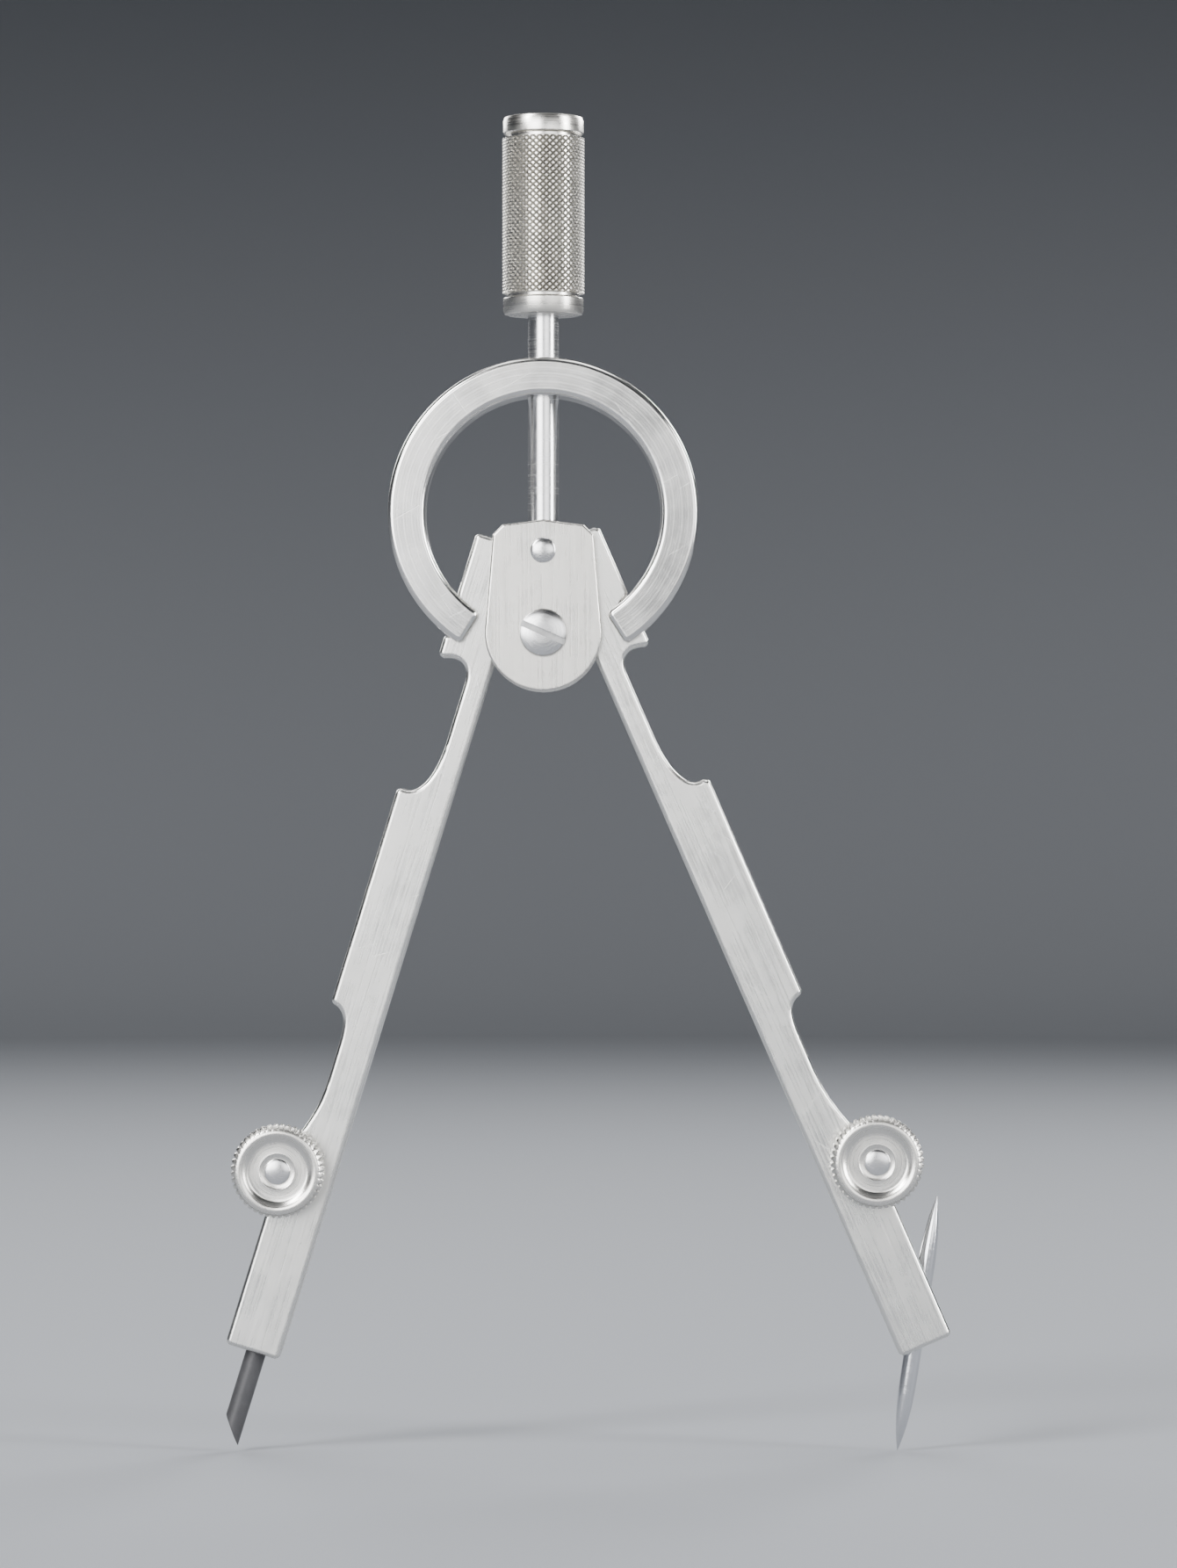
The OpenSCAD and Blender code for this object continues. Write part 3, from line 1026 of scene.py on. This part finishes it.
bm = turned([(LEAD_R, 0), (LEAD_R, LEAD_LEN - 0.1), (LEAD_R - 0.1, LEAD_LEN)], 72)
wedge = [(-LEAD_R - 0.01, -0.5), (-LEAD_R, 0), (LEAD_R, LEAD_BEVEL), (3, LEAD_BEVEL), (3, -0.5)]
bm = moved(cut(bm, slab(wedge, 4)), Matrix.Scale(-1, 4, (1, 0, 0)))
lead_place = (
    at_pivot
    @ Matrix.Rotation(math.radians(LEAD_LEAN), 4, "Y")
    @ Matrix.Translation(Vector((-LEAD_U, 0, -LEAD_LEG_LEN - LEAD_OUT)) * MM)
)
make_piece("chisel_lead", bm, lead_place, "lead", "lead", graphite())


# ---- Needle ----
# The needle is hardened steel, ground to a long point at both ends, and it is turned round when one wears.


def needle_radius(distance):
    """The needle's radius at a distance from its nearer point."""
    left = max(0.0, 1 - distance / NEEDLE_TAPER)
    return NEEDLE_R * (1 - left**3)


needle_steel = metal(
    "needle_steel",
    (0.70, 0.71, 0.73),
    (0.56, 0.57, 0.60),
    rough=0.16,
    lines=lathe_lines("Z", 0.3),
    depth=0.006,
)
BLUNT = 0.02
STATIONS = 36
stations = [BLUNT + (NEEDLE_TAPER - BLUNT) * (i / STATIONS) ** 1.4 for i in range(STATIONS + 1)]
profile = [(needle_radius(d), d) for d in stations]
profile += [(needle_radius(d), NEEDLE_LEN - d) for d in reversed(stations)]
needle_place = (
    at_pivot
    @ Matrix.Rotation(math.radians(-NEEDLE_LEAN), 4, "Y")
    @ Matrix.Translation(NEEDLE_POINT * MM)
    @ slanted
)
bm = turned(profile, 48)
make_piece("ground_needle", bm, needle_place, "needle", "needle", needle_steel)


# ---- Studio ----
# A pale bowl-shaped sweep, so that the background is seamless from every side, and soft box lights.

BOWL_R = 1.3
BOWL_BEND = 0.45
BOWL_H = 1.5
BEND_STEPS = 16
BOWL_SIDES = 128


def sweep_paint(low_colour, high_colour):
    """Matt paint, pale on the floor and darker up the wall, so that the metal has something to reflect."""
    made = bpy.data.materials.new("sweep_paint")
    made.use_nodes = True
    tree = made.node_tree
    skin = tree.nodes["Principled BSDF"]
    place = Wire(tree).node("ShaderNodeTexCoord", {}, {}, out="Object")
    rise = fade(number_along(place, "Z"), 0.0, 0.5, 0.0, 1.0, "SMOOTHSTEP")
    tree.links.new(blend_colour(rise, low_colour, high_colour).socket, skin.inputs["Base Color"])
    skin.inputs["Roughness"].default_value = 0.9
    skin.inputs["Specular IOR Level"].default_value = 0.1
    return made


bend = [math.pi / 2 * i / BEND_STEPS for i in range(BEND_STEPS + 1)]
profile = [(BOWL_R - BOWL_BEND * (1 - math.sin(a)), BOWL_BEND * (1 - math.cos(a))) for a in bend]
profile.append((BOWL_R, BOWL_H))
around = [math.tau * i / BOWL_SIDES for i in range(BOWL_SIDES)]
bm = bmesh.new()
rings = [round_loop(bm, around, r, z) for r, z in profile]
for lower, upper in zip(rings, rings[1:]):
    skin_between(bm, lower, upper)
bm.faces.new(rings[0])
bmesh.ops.recalc_face_normals(bm, faces=bm.faces)
for face in bm.faces:
    face.smooth = len(face.verts) == 4
mesh = bpy.data.meshes.new("sweep")
bm.to_mesh(mesh)
bm.free()
mesh.materials.append(sweep_paint((0.24, 0.25, 0.27), (0.06, 0.065, 0.075)))
sweep = bpy.data.objects.new("sweep", mesh)
bpy.context.scene.collection.objects.link(sweep)
centre = (cad_low + cad_high) / 2
sweep.location = (centre.x, centre.y, cad_low.z)
sweep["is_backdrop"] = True

world = bpy.data.worlds.new("room")
bpy.context.scene.world = world
world.use_nodes = True
world.node_tree.nodes["Background"].inputs["Color"].default_value = (0.9, 0.95, 1.0, 1)
world.node_tree.nodes["Background"].inputs["Strength"].default_value = 0.12


def softbox(name, place, size, watts, spread=180):
    """A rectangular light turned towards the object, out of the camera's sight."""
    light = bpy.data.lights.new(name, "AREA")
    light.spread = math.radians(spread)
    light.shape = "RECTANGLE"
    light.size, light.size_y = size
    light.energy = watts
    made = bpy.data.objects.new(name, light)
    bpy.context.scene.collection.objects.link(made)
    made.location = place
    made.rotation_mode = "QUATERNION"
    made.rotation_quaternion = (Vector(place) - centre).to_track_quat("Z", "Y")
    made.visible_camera = False


softbox("key", (-0.6, -0.5, 0.65), (0.22, 0.5), 10)
softbox("fill", (0.75, -0.3, 0.3), (0.2, 0.6), 2, spread=80)
softbox("overhead", (0.0, 0.1, 0.9), (0.7, 0.5), 5.5)
softbox("rim", (0.45, 0.75, 0.45), (0.5, 0.3), 2, spread=80)
softbox("front_card", (-0.42, -0.85, 0.27), (0.7, 0.5), 1.9, spread=70)
softbox("front_fill", (0.36, -0.85, 0.2), (0.7, 0.4), 0.55, spread=70)
softbox("back_card", (-0.45, 0.8, 0.45), (0.6, 0.4), 1.3, spread=80)

FRAME_FILL = 0.86
LENS = 120
camera_data = bpy.data.cameras.new("camera")
camera_data.lens = LENS
camera_data.clip_start = 0.01
camera = bpy.data.objects.new("camera", camera_data)
bpy.context.scene.collection.objects.link(camera)
frame_height = (cad_high.z - cad_low.z) / FRAME_FILL
distance = frame_height / (camera_data.sensor_width / LENS)
camera.location = (centre.x, cad_low.y - distance, centre.z)
camera.rotation_euler = (math.pi / 2, 0, 0)
bpy.context.scene.camera = camera

low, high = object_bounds()
